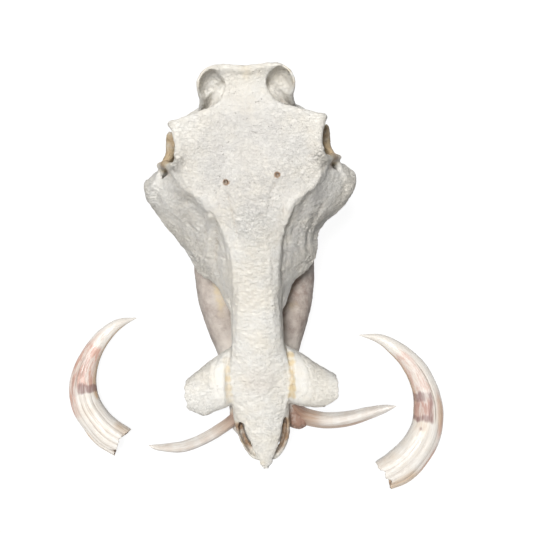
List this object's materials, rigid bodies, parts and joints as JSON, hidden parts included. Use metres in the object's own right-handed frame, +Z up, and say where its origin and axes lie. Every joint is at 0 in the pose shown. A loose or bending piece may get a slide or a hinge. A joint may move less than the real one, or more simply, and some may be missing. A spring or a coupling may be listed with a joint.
{
  "type": "warthog skull",
  "caption": "Bleached warthog skull resting on its lower jaw, with its long upper tusks drawn and laid beside it.",
  "frame": {"origin": "on the surface the skull rests on, in the middle of the flat under the chin", "axes": "+Z up, +Y from the nose towards the back of the head, +X across the head"},
  "size_m": [0.4664, 0.4797, 0.2421],
  "materials": {
    "bone": "dry bleached bone, matt and finely pitted, cream with warmer hollows",
    "ivory": "cream tusk ivory, half gloss, with long grooves and pink-brown stains",
    "enamel": "worn yellow-brown tooth, half gloss"
  },
  "bodies": {
    "root": {"cranium": "bone", "mandible": "bone", "lower_tusk_left": "ivory", "lower_tusk_right": "ivory", "upper_tusk_left": "ivory", "upper_tusk_right": "ivory", "upper_m1_left": "enamel", "upper_m2_left": "enamel", "upper_m3_left": "enamel", "upper_m1_right": "enamel", "upper_m2_right": "enamel", "upper_m3_right": "enamel", "lower_m1_left": "enamel", "lower_m2_left": "enamel", "lower_m3_left": "enamel", "lower_m1_right": "enamel", "lower_m2_right": "enamel", "lower_m3_right": "enamel", "incisor_1_left": "enamel", "incisor_2_left": "enamel", "incisor_1_right": "enamel", "incisor_2_right": "enamel"}
  },
  "joints": []
}
